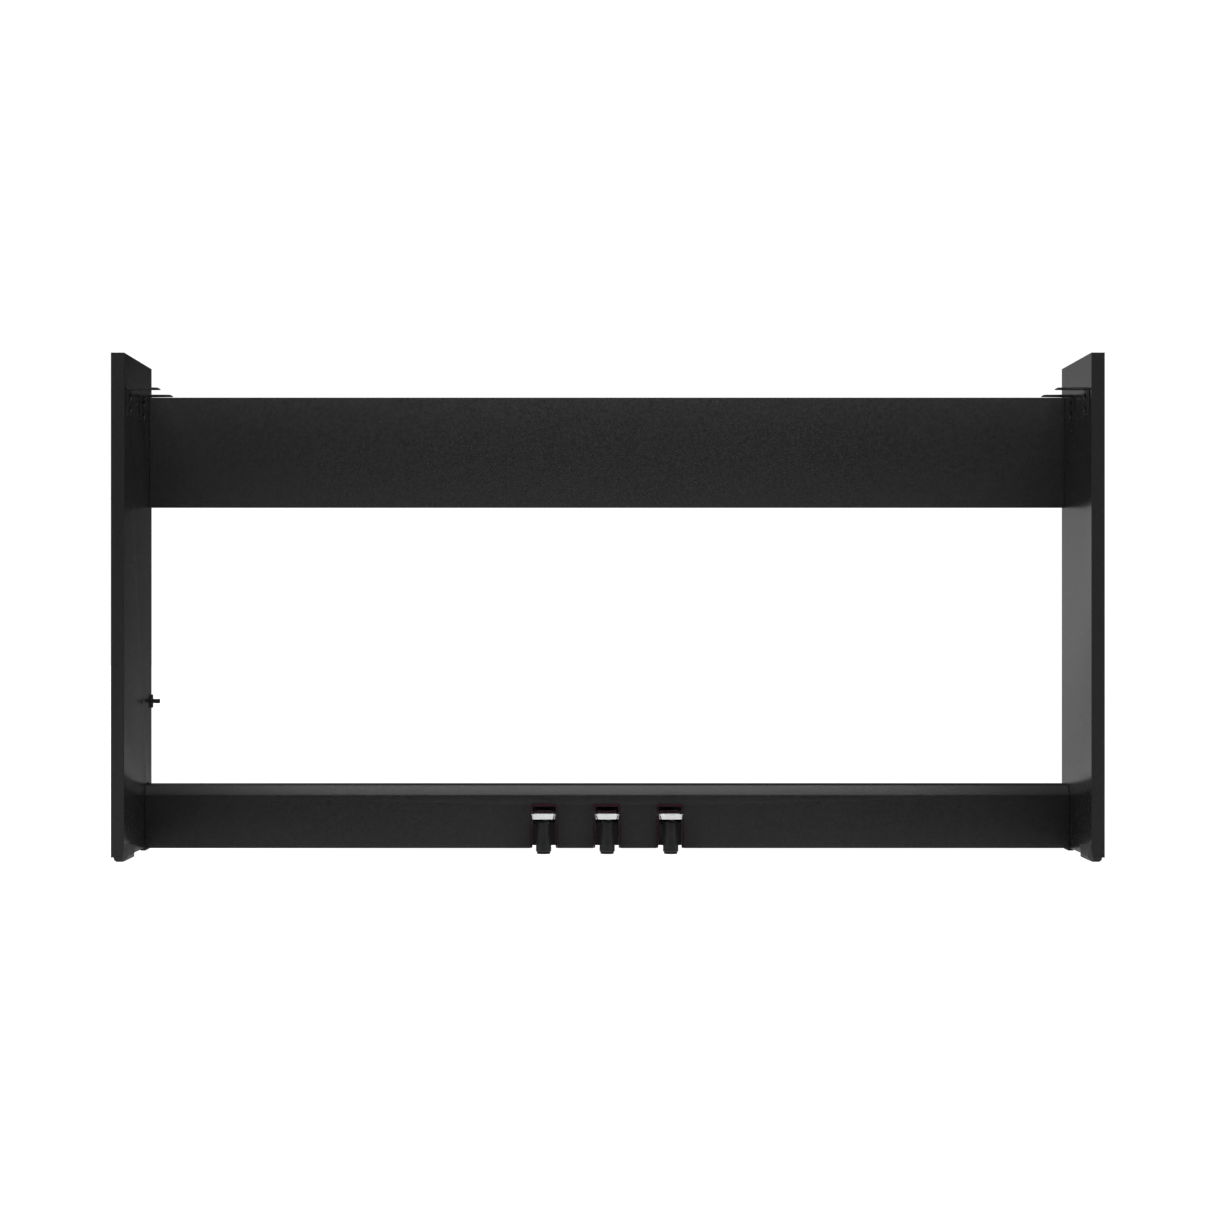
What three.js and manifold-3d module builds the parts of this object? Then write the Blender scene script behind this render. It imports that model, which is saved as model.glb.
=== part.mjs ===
// Stand with a three-pedal unit for a slab digital piano.
//
// Two side panels are joined by an upper rear board and a low pedal box. Four steel angle brackets on the
// panels carry the instrument. The box holds a steel chassis with three sprung pedals on one shaft; a support
// leg with a screw adjuster stands under each pedal.
//
// Units are millimetres. +X runs across the stand, -Y is the player's side, +Z is up, and z = 0 is the floor.
// The origin is under the middle of the stand.

import * as THREE from "three";
import { mergeVertices } from "three/addons/utils/BufferGeometryUtils.js";
import Module from "manifold-3d";

const wasm = await Module();
wasm.setup();

// ---------------------------------------------------------------- driving dimensions

const GAP = 0.25; // between faces that touch on the real stand

const WIDTH = 1342; // over the side panels
const DEPTH = 300;
const HEIGHT = 688;
const PANEL_T = 18;
const PANEL_BOTTOM = 6; // the feet lift the panels this much
const INNER = WIDTH / 2 - PANEL_T; // x of the panels' inner faces
const FRONT = -DEPTH / 2;
const BACK = DEPTH / 2;

const BACK_BOARD = { y0: 125, y1: 140, z0: 488.5, z1: 645.5 };

const BOX_FRONT = { y0: 70, y1: 85, z0: 5.5, z1: 80.25 };
const BOX_REAR = { y0: 132, y1: 147, z0: 6, z1: 80.25 };
const BOX_TOP = { z0: 80.5, z1: 94, bevel: 9 };

const PEDAL_PITCH = 89;
const PEDAL_X = [-PEDAL_PITCH, 0, PEDAL_PITCH];
const PEDAL_NAMES = ["left", "middle", "right"];
const PEDAL_TOP = 59.6; // at the neck and tail
const PADDLE_DIP = 2.6; // the paddle's top lies lower than the neck by this
const PEDAL_WALL = 2.2;
const PEDAL_CEILING = 56.8; // underside of the lever's top skin
const PIVOT = { y: 122, z: 52.5, shaft_r: 2.8, hole_r: 2.9 };

const SLOT = { half: 18.75, top: 67.75, r: 3 };
const FELT = { half: 18.5, top: 67.5, r: 2.8, inner_half: 16.6, inner_top: 64.3, inner_r: 1.6 };

const BRACKET = { leg: 42.5, drop: 36, width: 45, t: 1.2, top: 642.25, front_y: -134, rear_y: 11 };
const BRACKET_SCREW_Z = [614, 631];
const BRACKET_SCREW_DY = 11.5; // from the bracket's middle, towards the rear

const LEG = { y: 30, r: 8.5, top: 45.1, bottom: 16.5, bore: 4.7 };
const ARM = { half: 6, z0: 31.5, z1: 39.5, y0: 23 };
const CUP = { z0: 2.65, z1: 25.5, r: 10.7, inner: 8.8, floor: 8 };
const STUD_R = 3.9;

const CHASSIS = { half: 125, y0: 87.5, y1: 131.5, z0: 14, z1: 80.25, t: 2.5 };

// ---------------------------------------------------------------- materials

const mat = (color, roughness, metalness) =>
  new THREE.MeshStandardMaterial({ color, roughness, metalness });
const BOARD = mat(0x17171a, 0.55, 0);
const BLACK_STEEL = mat(0x141416, 0.45, 0.6);
const CHROME = mat(0xd8dadc, 0.12, 1);
const STEEL = mat(0xa8aab0, 0.35, 1);
const ZINC = mat(0x9a9c9f, 0.4, 1);
const BLACK_SCREW = mat(0x1b1b1d, 0.35, 0.8);
const BLACK_PLASTIC = mat(0x121214, 0.5, 0);
const RUBBER = mat(0x0e0e0f, 0.85, 0);
const RED_FELT = mat(0x4a0f1c, 0.95, 0);
const GREY_FELT = mat(0x3a3a3c, 0.95, 0);
const CIRCUIT = mat(0x1d5a33, 0.5, 0);

// ---------------------------------------------------------------- helpers

function solid(geometry) {
  const g = geometry.index ? geometry.toNonIndexed() : geometry.clone();
  g.deleteAttribute("normal");
  g.deleteAttribute("uv");
  const merged = mergeVertices(g, 1e-4);
  return new wasm.Manifold(
    new wasm.Mesh({
      numProp: 3,
      vertProperties: merged.attributes.position.array,
      triVerts: new Uint32Array(merged.index.array),
    }),
  );
}

function geometryOf(s) {
  const m = s.getMesh();
  const v = new Float32Array(m.numVert * 3);
  for (let i = 0; i < m.numVert; i++)
    v.set(m.vertProperties.subarray(i * m.numProp, i * m.numProp + 3), i * 3);
  const g = new THREE.BufferGeometry();
  g.setAttribute("position", new THREE.BufferAttribute(v, 3));
  g.setIndex(new THREE.BufferAttribute(new Uint32Array(m.triVerts), 1));
  const flat = g.toNonIndexed();
  flat.computeVertexNormals();
  return flat;
}

const box = (x0, x1, y0, y1, z0, z1) =>
  new THREE.BoxGeometry(x1 - x0, y1 - y0, z1 - z0).translate((x0 + x1) / 2, (y0 + y1) / 2, (z0 + z1) / 2);

// A cylinder along an axis, from a to b on it, at (p, q) on the other two axes in x, y, z order.
function rod(axis, a, b, p, q, r, sides = 16) {
  const g = new THREE.CylinderGeometry(r, r, b - a, sides);
  if (axis === "x") return g.rotateZ(-Math.PI / 2).translate((a + b) / 2, p, q);
  if (axis === "y") return g.translate(p, (a + b) / 2, q);
  return g.rotateX(Math.PI / 2).translate(p, q, (a + b) / 2);
}

const shapeOf = (points) => new THREE.Shape(points.map(([a, b]) => new THREE.Vector2(a, b)));

// A profile drawn in y and z, extruded along x.
function prismX(points, x0, x1) {
  const g = new THREE.ExtrudeGeometry(shapeOf(points), { depth: x1 - x0, bevelEnabled: false, steps: 1 });
  const m = new THREE.Matrix4().makeBasis(
    new THREE.Vector3(0, 1, 0),
    new THREE.Vector3(0, 0, 1),
    new THREE.Vector3(1, 0, 0),
  );
  return g.applyMatrix4(m).translate(x0, 0, 0);
}

// A profile drawn in x and z, extruded along y.
function prismY(points, y0, y1) {
  const g = new THREE.ExtrudeGeometry(shapeOf(points), { depth: y1 - y0, bevelEnabled: false, steps: 1 });
  const m = new THREE.Matrix4().makeBasis(
    new THREE.Vector3(1, 0, 0),
    new THREE.Vector3(0, 0, 1),
    new THREE.Vector3(0, -1, 0),
  );
  return g.applyMatrix4(m).translate(0, y1, 0);
}

// A turned piece about a vertical axis through the origin. The profile runs from the bottom up.
function turned(points, sides) {
  const g = new THREE.LatheGeometry(points.map(([r, z]) => new THREE.Vector2(r, z)), sides);
  return g.rotateX(Math.PI / 2); // y up becomes z up
}

function mirrored(geometry) {
  const g = (geometry.index ? geometry.toNonIndexed() : geometry.clone()).scale(-1, 1, 1);
  const p = g.attributes.position;
  for (let i = 0; i < p.count; i += 3) {
    const a = [p.getX(i + 1), p.getY(i + 1), p.getZ(i + 1)];
    p.setXYZ(i + 1, p.getX(i + 2), p.getY(i + 2), p.getZ(i + 2));
    p.setXYZ(i + 2, ...a);
  }
  g.computeVertexNormals();
  return g;
}

const cut = (a, ...tools) => tools.reduce((s, t) => s.subtract(t.decompose ? t : solid(t)), a.decompose ? a : solid(a));
const join = (a, ...more) => more.reduce((s, t) => s.add(t.decompose ? t : solid(t)), a.decompose ? a : solid(a));

const stand = new THREE.Group();
const group = (parent = stand) => {
  const g = new THREE.Group();
  parent.add(g);
  return g;
};

function piece(name, geometry, material, parent = stand, at = [0, 0, 0]) {
  const mesh = new THREE.Mesh(geometry.decompose ? geometryOf(geometry) : geometry, material);
  mesh.name = name;
  mesh.position.set(...at);
  parent.add(mesh);
  return mesh;
}

// ---------------------------------------------------------------- joining bolts and their places

// [y, z, depth of the hole past the panel's inner face]
const BOARD_BOLTS = [
  [132.5, 530, 41],
  [132.5, 605, 41],
];
const BOX_BOLTS = [
  [108.5, 28, 9],
  [108.5, 62, 9],
];

// ---------------------------------------------------------------- side panels

// The left panel. Its lower inner corner is cut away a little where the front foot sits.
const panelProfile = [
  [-WIDTH / 2, PANEL_BOTTOM],
  [-INNER, PANEL_BOTTOM],
  [-INNER, HEIGHT],
  [-WIDTH / 2, HEIGHT],
];
function sidePanel() {
  let s = solid(prismY(panelProfile, FRONT, BACK));
  const corner = prismY(
    [
      [-INNER - 3.6, PANEL_BOTTOM - 1],
      [-INNER + 1, PANEL_BOTTOM - 1],
      [-INNER + 1, 20],
      [-INNER, 20],
      [-INNER - 3.6, PANEL_BOTTOM],
    ],
    FRONT - 1,
    FRONT + 78.5,
  );
  s = cut(s, corner);
  for (const [y, z] of [...BOARD_BOLTS, ...BOX_BOLTS])
    s = cut(
      s,
      rod("x", -WIDTH / 2 - 1, -INNER + 1, y, z, 3.3, 12),
      rod("x", -WIDTH / 2 - 1, -WIDTH / 2 + 3.2, y, z, 5.4, 16),
    );
  for (const y0 of [BRACKET.front_y, BRACKET.rear_y])
    for (const z of BRACKET_SCREW_Z)
      s = cut(s, rod("x", -INNER - 13, -INNER + 1, y0 + BRACKET.width / 2 + BRACKET_SCREW_DY, z, 2.2, 10));
  return geometryOf(s);
}
const panels = group();
const leftPanel = sidePanel();
piece("side_panel_left", leftPanel, BOARD, panels);
piece("side_panel_right", mirrored(leftPanel), BOARD, panels);

// ---------------------------------------------------------------- upper rear board

const BOARD_HALF = INNER - GAP;
{
  let s = solid(box(-BOARD_HALF, BOARD_HALF, BACK_BOARD.y0, BACK_BOARD.y1, BACK_BOARD.z0, BACK_BOARD.z1));
  for (const [y, z, deep] of BOARD_BOLTS)
    for (const side of [-1, 1])
      s = cut(s, rod("x", side < 0 ? -INNER - 1 : INNER - deep, side < 0 ? -INNER + deep : INNER + 1, y, z, 3.3, 12));
  piece("back_board", s, BOARD);
}

// ---------------------------------------------------------------- pedal box

function slotProfile(half, top, r, bottom) {
  const pts = [
    [-half, bottom],
    [half, bottom],
  ];
  for (const [cx, a0] of [
    [half - r, 0],
    [-half + r, 90],
  ])
    for (let k = 0; k <= 3; k++) {
      const a = THREE.MathUtils.degToRad(a0 + 30 * k);
      pts.push([cx + r * Math.cos(a), top - r + r * Math.sin(a)]);
    }
  return pts;
}

const pedalBox = group();
{
  let s = solid(box(-BOARD_HALF, BOARD_HALF, BOX_FRONT.y0, BOX_FRONT.y1, BOX_FRONT.z0, BOX_FRONT.z1));
  for (const x of PEDAL_X)
    s = cut(
      s,
      prismY(slotProfile(SLOT.half, SLOT.top, SLOT.r, 0), BOX_FRONT.y0 - 2, BOX_FRONT.y1 + 2).translate(x, 0, 0),
    );
  piece("box_front_board", s, BOARD, pedalBox);
}
piece(
  "box_top_board",
  prismX(
    [
      [BOX_FRONT.y0, BOX_TOP.z0],
      [BACK, BOX_TOP.z0],
      [BACK, BOX_TOP.z1],
      [BOX_FRONT.y0 + BOX_TOP.bevel, BOX_TOP.z1],
    ],
    -BOARD_HALF,
    BOARD_HALF,
  ),
  BOARD,
  pedalBox,
);

const SOCKET = { x0: -61.5, x1: -46.5, z0: 60.5, z1: 71.5 };
{
  const s = cut(
    box(-BOARD_HALF, BOARD_HALF, BOX_REAR.y0, BOX_REAR.y1, BOX_REAR.z0, BOX_REAR.z1),
    box(SOCKET.x0 - GAP, SOCKET.x1 + GAP, BOX_REAR.y0 - 1, BOX_REAR.y1 + 1, SOCKET.z0 - GAP, SOCKET.z1 + GAP),
  );
  piece("box_rear_board", s, BOARD, pedalBox);
}

// Steel end brackets, with two nut bosses for the bolts through the panel.
function endBracket() {
  let s = cut(
    box(-BOARD_HALF, -622, 85.25, 131.75, 10, 79),
    box(-BOARD_HALF + 2.5, -621, 87.75, 129.25, 9, 80),
  );
  for (const [y, z] of BOX_BOLTS) s = join(s, rod("x", -BOARD_HALF + 1, -643.5, y, z, 6, 12));
  for (const [y, z] of BOX_BOLTS) s = cut(s, rod("x", -BOARD_HALF - 1, -643, y, z, 3.3, 12));
  return geometryOf(s);
}
const leftEnd = endBracket();
piece("box_end_bracket_left", leftEnd, ZINC, pedalBox);
piece("box_end_bracket_right", mirrored(leftEnd), ZINC, pedalBox);

// Felt round each slot.
const slotFelt = () =>
  cut(
    prismY(slotProfile(FELT.half, FELT.top, FELT.r, 6), BOX_FRONT.y0 - 0.5, BOX_FRONT.y1 - 0.5),
    prismY(slotProfile(FELT.inner_half, FELT.inner_top, FELT.inner_r, 0), BOX_FRONT.y0 - 2, BOX_FRONT.y1 + 2),
  );
PEDAL_X.forEach((x, i) => piece(`slot_felt_${PEDAL_NAMES[i]}`, slotFelt(), RED_FELT, pedalBox, [x, 0, 0]));

// ---------------------------------------------------------------- pedal chassis

const unit = group();
{
  const c = CHASSIS;
  let s = join(
    box(-c.half, c.half, c.y0, c.y1, c.z1 - c.t, c.z1), // top plate
    box(-c.half, c.half, c.y1 - c.t, c.y1, c.z0, c.z1), // rear web
    box(-c.half, c.half, c.y0, c.y1, c.z0, c.z0 + c.t), // shelf
    box(-c.half, c.half, c.y0, c.y0 + c.t, c.z0, 39.65), // lower front web
    box(-c.half, c.half, c.y0, 95, 39.65 - c.t, 39.65), // its lip, under the lower stop
    box(-c.half, c.half, c.y0, c.y0 + c.t, 62.9, c.z1), // upper front web
    box(-c.half, c.half, c.y0, 97, 62.9, 62.9 + c.t), // its lip, over the upper stop
  );
  for (const x of PEDAL_X) {
    s = join(
      s,
      box(x - 14.75, x - 12.25, 115, c.y1 - 1, 44, c.z1 - 1),
      box(x + 12.25, x + 14.75, 115, c.y1 - 1, 44, c.z1 - 1),
      box(x - ARM.half, x + ARM.half, ARM.y0, c.y0 + 1, ARM.z0, ARM.z1),
    );
    s = cut(s, rod("z", ARM.z0 - 1, ARM.z1 + 1, x, LEG.y, 4.25, 12));
  }
  s = cut(
    s,
    rod("x", -c.half, c.half, PIVOT.y, PIVOT.z, PIVOT.hole_r, 16),
    box(SOCKET.x0 - 1.5, SOCKET.x1 + 1.5, c.y1 - c.t - 1, c.y1 + 1, SOCKET.z0 - 1.5, SOCKET.z1 + 1.5),
  );
  piece("pedal_chassis", s, BLACK_STEEL, unit);
}
piece("pedal_shaft", rod("x", -110, 110, PIVOT.y, PIVOT.z, PIVOT.shaft_r, 16), STEEL, unit);
piece("upper_stop_felt", box(-110, 110, 89, 97, PEDAL_TOP + 0.3, 62.65), GREY_FELT, unit);
piece("lower_stop_felt", box(-110, 110, 87.75, 94.75, 39.9, 42.4), GREY_FELT, unit);

// ---------------------------------------------------------------- pedals

// Right half of the lever's plan outline from the nose to the tail, [x, y], y in the stand's frame.
const OUTLINE = [
  [6, 14.05],
  [10.5, 14.3],
  [13.3, 15.0],
  [15.3, 16.5],
  [17.3, 18.7],
  [19.0, 21.2],
  [20.0, 24],
  [20.4, 28],
  [20.5, 36.5],
  [20.2, 42],
  [18.9, 47.5],
  [16.6, 53],
  [14.0, 58],
  [12.0, 63],
  [11.2, 67],
  [11, 72],
  [11, 100],
  [11, 126.6],
  [10.1, 128],
];
const ring = [[0, 14], ...OUTLINE, ...[...OUTLINE].reverse().map(([x, y]) => [-x, y])];
const normals = ring.map((_, i) => {
  const [ax, ay] = ring[(i + ring.length - 1) % ring.length];
  const [bx, by] = ring[(i + 1) % ring.length];
  const l = Math.hypot(bx - ax, by - ay);
  return [(by - ay) / l, -(bx - ax) / l]; // outwards, for a ring that runs anticlockwise
});
const ease = (t) => {
  const u = Math.min(1, Math.max(0, t));
  return u * u * (3 - 2 * u);
};
const tuck = (y) => 1 - 0.86 * ease((y - 48) / 16); // the skirt is tucked in under the paddle, not under the neck
const rim = (y) => 48.7 - 2.7 * ease((y - 48) / 16); // the neck's flanges are deeper

// Levels of the shell: outside from the rim up, then the ceiling inside back down to the rim.
function level(inset, z, extra = 0) {
  return ring.map(([x, y], i) => {
    const d = inset * tuck(y) + extra;
    return [x - normals[i][0] * d, y - normals[i][1] * d, typeof z === "function" ? z(y) : z];
  });
}
function pedalShell() {
  const levels = [
    level(3.2, rim),
    level(2.6, 52.0),
    level(1.9, 56.3),
    level(0.2, 57.3),
    level(0, 58.8),
    level(0.9, PEDAL_TOP),
  ];
  const inner = [level(2.6, PEDAL_CEILING, PEDAL_WALL), level(3.2, rim, PEDAL_WALL)];
  const n = ring.length;
  const tri = [];
  const dipped = ([x, y, z]) => {
    const share = Math.min(1, Math.max(0, (z - 48.7) / (PEDAL_TOP - 48.7)));
    return [x, y, z - PADDLE_DIP * (1 - ease((y - 46) / 20)) * share];
  };
  const face = (a, b, c) => tri.push(...dipped(a), ...dipped(b), ...dipped(c));
  const wall = (lower, upper) => {
    for (let i = 0; i < n; i++) {
      const j = (i + 1) % n;
      face(lower[i], lower[j], upper[j]);
      face(lower[i], upper[j], upper[i]);
    }
  };
  for (let k = 0; k + 1 < levels.length; k++) wall(levels[k], levels[k + 1]);
  wall(inner[0], inner[1]);
  wall(inner[1], levels[0]);
  // The two flat caps are strips between the left and right halves of the ring.
  const cap = (l, up) => {
    for (let i = 0; i < (n - 1) / 2; i++) {
      const a = l[i],
        b = l[i + 1],
        c = l[(n - i - 1) % n],
        d = l[(n - i) % n];
      if (up) {
        face(a, b, c);
        if (i > 0) face(a, c, d);
      } else {
        face(a, c, b);
        if (i > 0) face(a, d, c);
      }
    }
  };
  cap(levels[levels.length - 1], true);
  cap(inner[0], false);
  const g = new THREE.BufferGeometry();
  g.setAttribute("position", new THREE.BufferAttribute(new Float32Array(tri), 3));
  return cut(g, rod("x", -20, 20, PIVOT.y, PIVOT.z, PIVOT.hole_r, 16));
}
const pedalGeometry = geometryOf(pedalShell());
PEDAL_X.forEach((x, i) => piece(`pedal_${PEDAL_NAMES[i]}`, pedalGeometry, CHROME, unit, [x, 0, 0]));

// Return springs, between the shelf and the lever's top skin.
{
  const z0 = CHASSIS.z0 + CHASSIS.t + GAP + 0.8,
    z1 = PEDAL_CEILING - GAP - 0.8,
    turns = 5,
    r = 6.1;
  class Helix extends THREE.Curve {
    getPoint(t, target = new THREE.Vector3()) {
      const a = t * turns * 2 * Math.PI;
      return target.set(r * Math.cos(a), r * Math.sin(a), z0 + (z1 - z0) * t);
    }
  }
  const section = [];
  for (let k = 0; k < 6; k++) section.push([0.7 * Math.cos((k * Math.PI) / 3), 0.7 * Math.sin((k * Math.PI) / 3)]);
  const g = new THREE.ExtrudeGeometry(shapeOf(section), { extrudePath: new Helix(), steps: turns * 8 });
  PEDAL_X.forEach((x, i) => piece(`return_spring_${PEDAL_NAMES[i]}`, g, STEEL, unit, [x, 104, 0]));
}

// ---------------------------------------------------------------- support legs

const legPost = () => {
  let s = solid(
    turned(
      [
        [0, LEG.bottom],
        [LEG.r, LEG.bottom],
        [LEG.r, LEG.top - 1.4],
        [LEG.r - 0.5, LEG.top - 0.4],
        [LEG.r - 1.5, LEG.top],
        [0, LEG.top],
      ],
      16,
    ).translate(0, LEG.y, 0),
  );
  s = cut(s, rod("z", LEG.bottom - 1, 44.15, 0, LEG.y, LEG.bore, 12));
  return cut(s, box(-ARM.half - 0.3, ARM.half + 0.3, ARM.y0 - 0.3, LEG.y + 12, ARM.z0 - 0.3, ARM.z1 + 0.3));
};
const legCup = () =>
  turned(
    [
      [0, 5.4],
      [3.3, 5.4],
      [3.3, CUP.z0],
      [9.6, CUP.z0],
      [CUP.r, 4.2],
      [CUP.r, 12],
      [10.2, 15.5],
      [9.6, 20],
      [9.3, CUP.z1],
      [CUP.inner, CUP.z1],
      [CUP.inner, CUP.floor],
      [0, CUP.floor],
    ],
    16,
  ).translate(0, LEG.y, 0);
const legStud = () =>
  turned(
    [
      [0, CUP.floor + GAP],
      [7, CUP.floor + GAP],
      [7, 10.5],
      [STUD_R, 10.5],
      [STUD_R, 38.2],
      [3.1, 39],
      [0, 39],
    ],
    12,
  ).translate(0, LEG.y, 0);
const legSole = () =>
  turned(
    [
      [0, 0],
      [8.4, 0],
      [9.4, 1],
      [9.4, 2.4],
      [3, 2.4],
      [3, 5.1],
      [0, 5.1],
    ],
    16,
  ).translate(0, LEG.y, 0);
const legGeometries = { post: legPost(), cup: legCup(), stud: legStud(), sole: legSole() };
PEDAL_X.forEach((x, i) => {
  const leg = group(unit);
  leg.position.set(x, 0, 0);
  piece(`leg_post_${PEDAL_NAMES[i]}`, legGeometries.post, BLACK_PLASTIC, leg);
  piece(`leg_cup_${PEDAL_NAMES[i]}`, legGeometries.cup, BLACK_PLASTIC, leg);
  piece(`leg_stud_${PEDAL_NAMES[i]}`, legGeometries.stud, ZINC, leg);
  piece(`leg_sole_${PEDAL_NAMES[i]}`, legGeometries.sole, RUBBER, leg);
});

// ---------------------------------------------------------------- switch board and socket

{
  let s = solid(box(-105, 105, 100, 113, 70, 71.6));
  for (const x of PEDAL_X) s = join(s, box(x - 5, x + 5, 102, 111, 63.5, 70.2));
  for (const x of [-72, -30, 30, 72]) s = join(s, rod("z", 71.4, 77.5, x, 106.5, 2.5, 8));
  s = join(s, box(-60, -48, 105, 112.5, 64.5, 70.2));
  piece("switch_board", s, CIRCUIT, unit);
}
{
  let s = join(
    box(SOCKET.x0, SOCKET.x1, 126.5, 147.5, SOCKET.z0, SOCKET.z1),
    box(SOCKET.x0 - 4, SOCKET.x1 + 4, BOX_REAR.y1 + GAP, BOX_REAR.y1 + 2, SOCKET.z0 - 4, SOCKET.z1 + 4),
  );
  s = cut(s, box(SOCKET.x0 + 2, SOCKET.x1 - 2, 137, 150, SOCKET.z0 + 2, SOCKET.z1 - 2));
  s = join(s, box(SOCKET.x0 + 4.5, SOCKET.x1 - 4.5, 136.5, 139, 65.3, 66.7)); // contact block
  piece("pedal_socket", s, BLACK_PLASTIC, unit);
}

// ---------------------------------------------------------------- instrument brackets and their screws

function angleBracket() {
  const { leg, drop, width, t, top } = BRACKET;
  const x = -INNER + GAP;
  const profile = [
    [x, top - drop],
    [x + t, top - drop],
    [x + t, top - t - 1.2],
    [x + t + 0.35, top - t - 0.35],
    [x + t + 1.2, top - t],
    [x + leg, top - t],
    [x + leg, top],
    [x + 2.6, top],
    [x + 0.9, top - 0.6],
    [x, top - 2.2],
  ];
  let s = solid(prismY(profile, 0, width));
  for (const z of BRACKET_SCREW_Z) s = cut(s, rod("x", x - 1, x + t + 1, width / 2 + BRACKET_SCREW_DY, z, 2.4, 12));
  s = cut(s, rod("z", top - t - 1, top + 1, x + 28, width / 2, 3.5, 14)); // hole for the instrument's fixing screw
  // rounded free corners
  for (const [y, sy] of [
    [0, 1],
    [width, -1],
  ]) {
    const c = new THREE.Shape();
    // the leaf narrows a little towards its free end
    [
      [leg + 1, -1],
      [9, -1],
      [9, 0],
      [leg - 4, 4.2],
      [leg - 2.2, 4.9],
      [leg - 0.9, 6.2],
      [leg - 0.2, 7.8],
      [leg, 9.4],
      [leg + 1, 9.4],
    ].forEach(([u, v], i) => (i ? c.lineTo(x + u, y + sy * v) : c.moveTo(x + u, y + sy * v)));
    const g = new THREE.ExtrudeGeometry(c, { depth: 6, bevelEnabled: false });
    s = cut(s, g.translate(0, 0, top - 4));
  }
  return geometryOf(s);
}
const bracketGeometry = angleBracket();
const bracketMirror = mirrored(bracketGeometry);

// Pan-head screw along x, its head towards the middle of the stand, for the left panel.
function bracketScrew() {
  const x = -INNER + GAP + BRACKET.t + GAP;
  const head = turned(
    [
      [0, -12.5],
      [1.0, -12.5],
      [1.8, -9.5],
      [1.8, 0],
      [4.2, 0],
      [4.2, 1.0],
      [3.4, 2.1],
      [2.0, 2.6],
      [0, 2.6],
    ],
    12,
  )
    .rotateY(Math.PI / 2)
    .translate(x, 0, 0);
  return geometryOf(cut(head, box(x + 1.2, x + 4, -0.5, 0.5, -2, 2), box(x + 1.2, x + 4, -2, 2, -0.5, 0.5)));
}
const screwGeometry = bracketScrew();
const screwMirror = mirrored(screwGeometry);

for (const side of ["left", "right"])
  for (const row of ["front", "rear"]) {
    const g = group();
    g.position.set(0, row === "front" ? BRACKET.front_y : BRACKET.rear_y, 0);
    piece(`bracket_${row}_${side}`, side === "left" ? bracketGeometry : bracketMirror, BLACK_STEEL, g);
    ["lower", "upper"].forEach((at, i) =>
      piece(`bracket_screw_${row}_${side}_${at}`, side === "left" ? screwGeometry : screwMirror, BLACK_SCREW, g, [
        0,
        BRACKET.width / 2 + BRACKET_SCREW_DY,
        BRACKET_SCREW_Z[i],
      ]),
    );
  }

// ---------------------------------------------------------------- joining bolts

// Socket-head bolt along x, its head let into the left panel's outer face.
function joiningBolt(length) {
  const x = -WIDTH / 2 + 0.2;
  const g = turned(
    [
      [0, -length],
      [2.2, -length],
      [3, -length + 1.5],
      [3, -2.9],
      [5, -2.9],
      [5, -0.5],
      [4.5, 0],
      [0, 0],
    ],
    12,
  )
    .rotateY(-Math.PI / 2)
    .translate(x, 0, 0);
  return geometryOf(cut(g, rod("x", x - 1, x + 2, 0, 0, 2.4, 6)));
}
const boltLong = joiningBolt(PANEL_T + 39),
  boltShort = joiningBolt(PANEL_T + 7.5);
const bolts = group();
for (const side of ["left", "right"])
  [
    ["board", BOARD_BOLTS, boltLong],
    ["box", BOX_BOLTS, boltShort],
  ].forEach(([what, places, g]) =>
    ["lower", "upper"].forEach((at, i) =>
      piece(`bolt_${what}_${side}_${at}`, side === "left" ? g : mirrored(g), BLACK_SCREW, bolts, [
        0,
        places[i][0],
        places[i][1],
      ]),
    ),
  );

// ---------------------------------------------------------------- feet

// Profiles in x and z for the left panel, u measured inwards from its inner face.
const fx = (u) => -INNER + u;
const padProfile = [
  [fx(-15), 5.75],
  [fx(-14.4), 2.4],
  [fx(-11.2), 0],
  [fx(-1.7), 0],
  [fx(-0.9), 0.8],
  [fx(-0.9), 5.75],
];
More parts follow.
